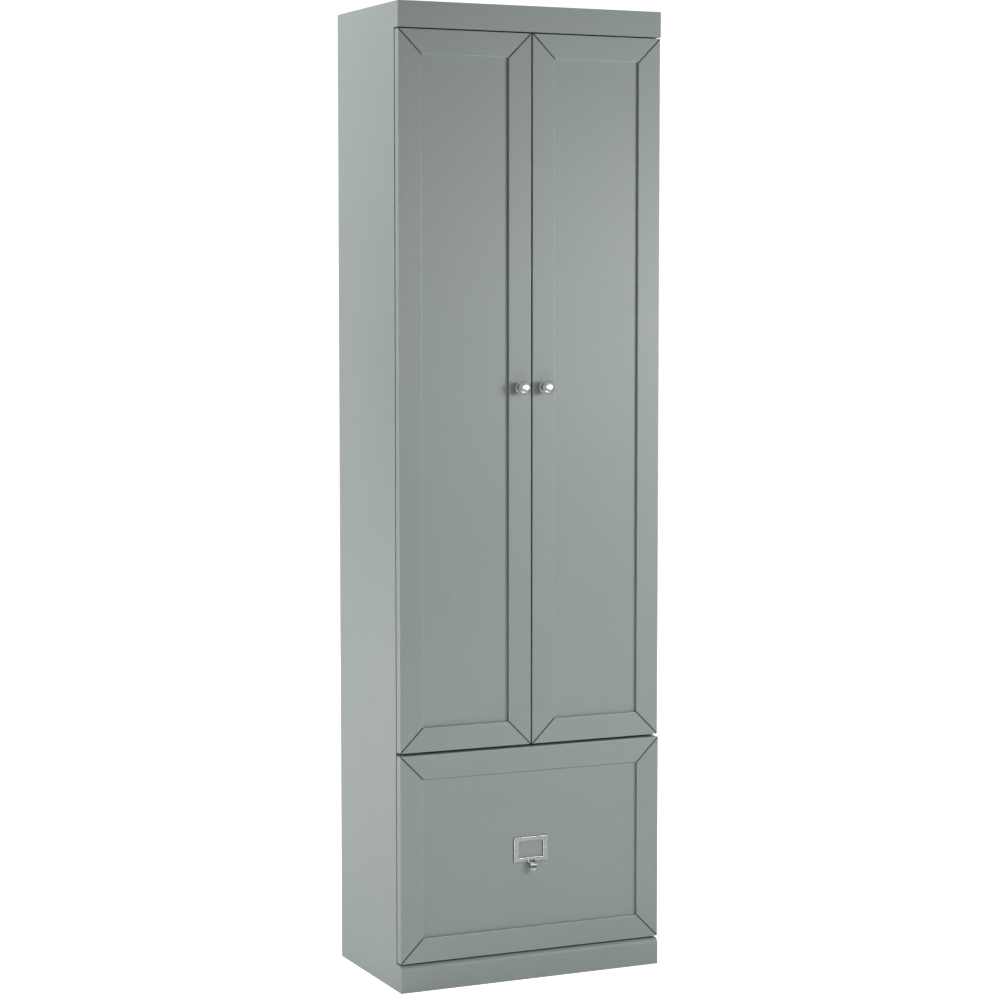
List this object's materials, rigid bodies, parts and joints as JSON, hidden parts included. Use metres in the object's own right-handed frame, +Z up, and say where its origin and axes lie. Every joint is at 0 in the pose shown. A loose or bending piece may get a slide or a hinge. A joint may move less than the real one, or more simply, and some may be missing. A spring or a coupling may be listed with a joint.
{
  "type": "pantry cabinet",
  "caption": "Tall narrow pantry cabinet with two full-height mitred-frame doors on concealed hinges, inner shelves and a deep drawer on ball-bearing slides.",
  "frame": {"origin": "floor level, under the middle of the box that holds the cabinet and its knobs", "axes": "+X to the right of a person facing the doors, +Y from the doors back to the wall, +Z up"},
  "size_m": [0.59, 0.362, 2.007],
  "materials": {
    "sage_paint": "satin sage grey paint over wood grain",
    "hardboard": "thin hardboard, painted inside and bare behind",
    "drawer_wood": "clear satin lacquer",
    "zinc_steel": "bright zinc plate",
    "satin_nickel": "satin nickel plate",
    "clear_bumper": "soft clear plastic"
  },
  "bodies": {
    "cabinet": {"left_side_panel": "sage_paint", "right_side_panel": "sage_paint", "top_panel": "sage_paint", "valance": "sage_paint", "middle_panel": "sage_paint", "bottom_panel": "sage_paint", "plinth": "sage_paint", "upper_back_panel": "hardboard", "lower_back_panel": "hardboard", "lower_shelf": "sage_paint", "centre_shelf": "sage_paint", "upper_shelf": "sage_paint", "top_shelf": "sage_paint", "left_lower_hinge_arm": "zinc_steel", "left_middle_hinge_arm": "zinc_steel", "left_upper_hinge_arm": "zinc_steel", "right_lower_hinge_arm": "zinc_steel", "right_middle_hinge_arm": "zinc_steel", "right_upper_hinge_arm": "zinc_steel", "left_slide_cabinet_member": "zinc_steel", "right_slide_cabinet_member": "zinc_steel"},
    "left_door": {"left_door_outer_stile": "sage_paint", "left_door_inner_stile": "sage_paint", "left_door_top_rail": "sage_paint", "left_door_bottom_rail": "sage_paint", "left_door_panel": "sage_paint", "left_knob": "satin_nickel", "left_lower_hinge_cup": "zinc_steel", "left_middle_hinge_cup": "zinc_steel", "left_upper_hinge_cup": "zinc_steel"},
    "right_door": {"right_door_outer_stile": "sage_paint", "right_door_inner_stile": "sage_paint", "right_door_top_rail": "sage_paint", "right_door_bottom_rail": "sage_paint", "right_door_panel": "sage_paint", "right_knob": "satin_nickel", "right_lower_hinge_cup": "zinc_steel", "right_middle_hinge_cup": "zinc_steel", "right_upper_hinge_cup": "zinc_steel"},
    "drawer": {"drawer_front_left_stile": "sage_paint", "drawer_front_right_stile": "sage_paint", "drawer_front_top_rail": "sage_paint", "drawer_front_bottom_rail": "sage_paint", "drawer_front_panel": "sage_paint", "drawer_box_left_side": "drawer_wood", "drawer_box_right_side": "drawer_wood", "drawer_box_front": "drawer_wood", "drawer_box_back": "drawer_wood", "drawer_box_bottom": "drawer_wood", "label_holder_pull": "satin_nickel", "left_slide_drawer_member": "zinc_steel", "right_slide_drawer_member": "zinc_steel"},
    "left_slide_middle": {"left_slide_middle_member": "zinc_steel"},
    "right_slide_middle": {"right_slide_middle_member": "zinc_steel"},
    "left_lower_link": {"left_lower_hinge_link": "zinc_steel"},
    "left_middle_link": {"left_middle_hinge_link": "zinc_steel"},
    "left_upper_link": {"left_upper_hinge_link": "zinc_steel"},
    "right_lower_link": {"right_lower_hinge_link": "zinc_steel"},
    "right_middle_link": {"right_middle_hinge_link": "zinc_steel"},
    "right_upper_link": {"right_upper_hinge_link": "zinc_steel"}
  },
  "joints": [
    {"name": "left_door_hinge", "type": "hinge", "parent": "cabinet", "child": "left_door", "pos_m": [-0.2885, -0.1432, 1.223], "axis": [0, 0, -1], "range_deg": [0, 105]},
    {"name": "right_door_hinge", "type": "hinge", "parent": "cabinet", "child": "right_door", "pos_m": [0.2885, -0.1432, 1.223], "axis": [0, 0, 1], "range_deg": [0, 105]},
    {"name": "left_lower_link_pivot", "type": "hinge", "parent": "cabinet", "child": "left_lower_link", "pos_m": [-0.2655, -0.1398, 0.59], "axis": [0, 0, 1], "range_deg": [0, 37]},
    {"name": "left_middle_link_pivot", "type": "hinge", "parent": "cabinet", "child": "left_middle_link", "pos_m": [-0.2655, -0.1398, 1.26], "axis": [0, 0, 1], "range_deg": [0, 37]},
    {"name": "left_upper_link_pivot", "type": "hinge", "parent": "cabinet", "child": "left_upper_link", "pos_m": [-0.2655, -0.1398, 1.856], "axis": [0, 0, 1], "range_deg": [0, 37]},
    {"name": "right_lower_link_pivot", "type": "hinge", "parent": "cabinet", "child": "right_lower_link", "pos_m": [0.2655, -0.1398, 0.59], "axis": [0, 0, -1], "range_deg": [0, 37]},
    {"name": "right_middle_link_pivot", "type": "hinge", "parent": "cabinet", "child": "right_middle_link", "pos_m": [0.2655, -0.1398, 1.26], "axis": [0, 0, -1], "range_deg": [0, 37]},
    {"name": "right_upper_link_pivot", "type": "hinge", "parent": "cabinet", "child": "right_upper_link", "pos_m": [0.2655, -0.1398, 1.856], "axis": [0, 0, -1], "range_deg": [0, 37]},
    {"name": "drawer_slide", "type": "slide", "parent": "cabinet", "child": "drawer", "axis": [0, -1, 0], "range_m": [0, 0.27]},
    {"name": "left_slide_travel", "type": "slide", "parent": "cabinet", "child": "left_slide_middle", "axis": [0, -1, 0], "range_m": [0, 0.135]},
    {"name": "right_slide_travel", "type": "slide", "parent": "cabinet", "child": "right_slide_middle", "axis": [0, -1, 0], "range_m": [0, 0.135]}
  ],
  "couplings": [
    {"joint": "left_lower_link_pivot", "follows": "left_door_hinge", "ratio": 0.35},
    {"joint": "left_middle_link_pivot", "follows": "left_door_hinge", "ratio": 0.35},
    {"joint": "left_upper_link_pivot", "follows": "left_door_hinge", "ratio": 0.35},
    {"joint": "right_lower_link_pivot", "follows": "right_door_hinge", "ratio": 0.35},
    {"joint": "right_middle_link_pivot", "follows": "right_door_hinge", "ratio": 0.35},
    {"joint": "right_upper_link_pivot", "follows": "right_door_hinge", "ratio": 0.35},
    {"joint": "left_slide_travel", "follows": "drawer_slide", "ratio": 0.5},
    {"joint": "right_slide_travel", "follows": "drawer_slide", "ratio": 0.5}
  ]
}
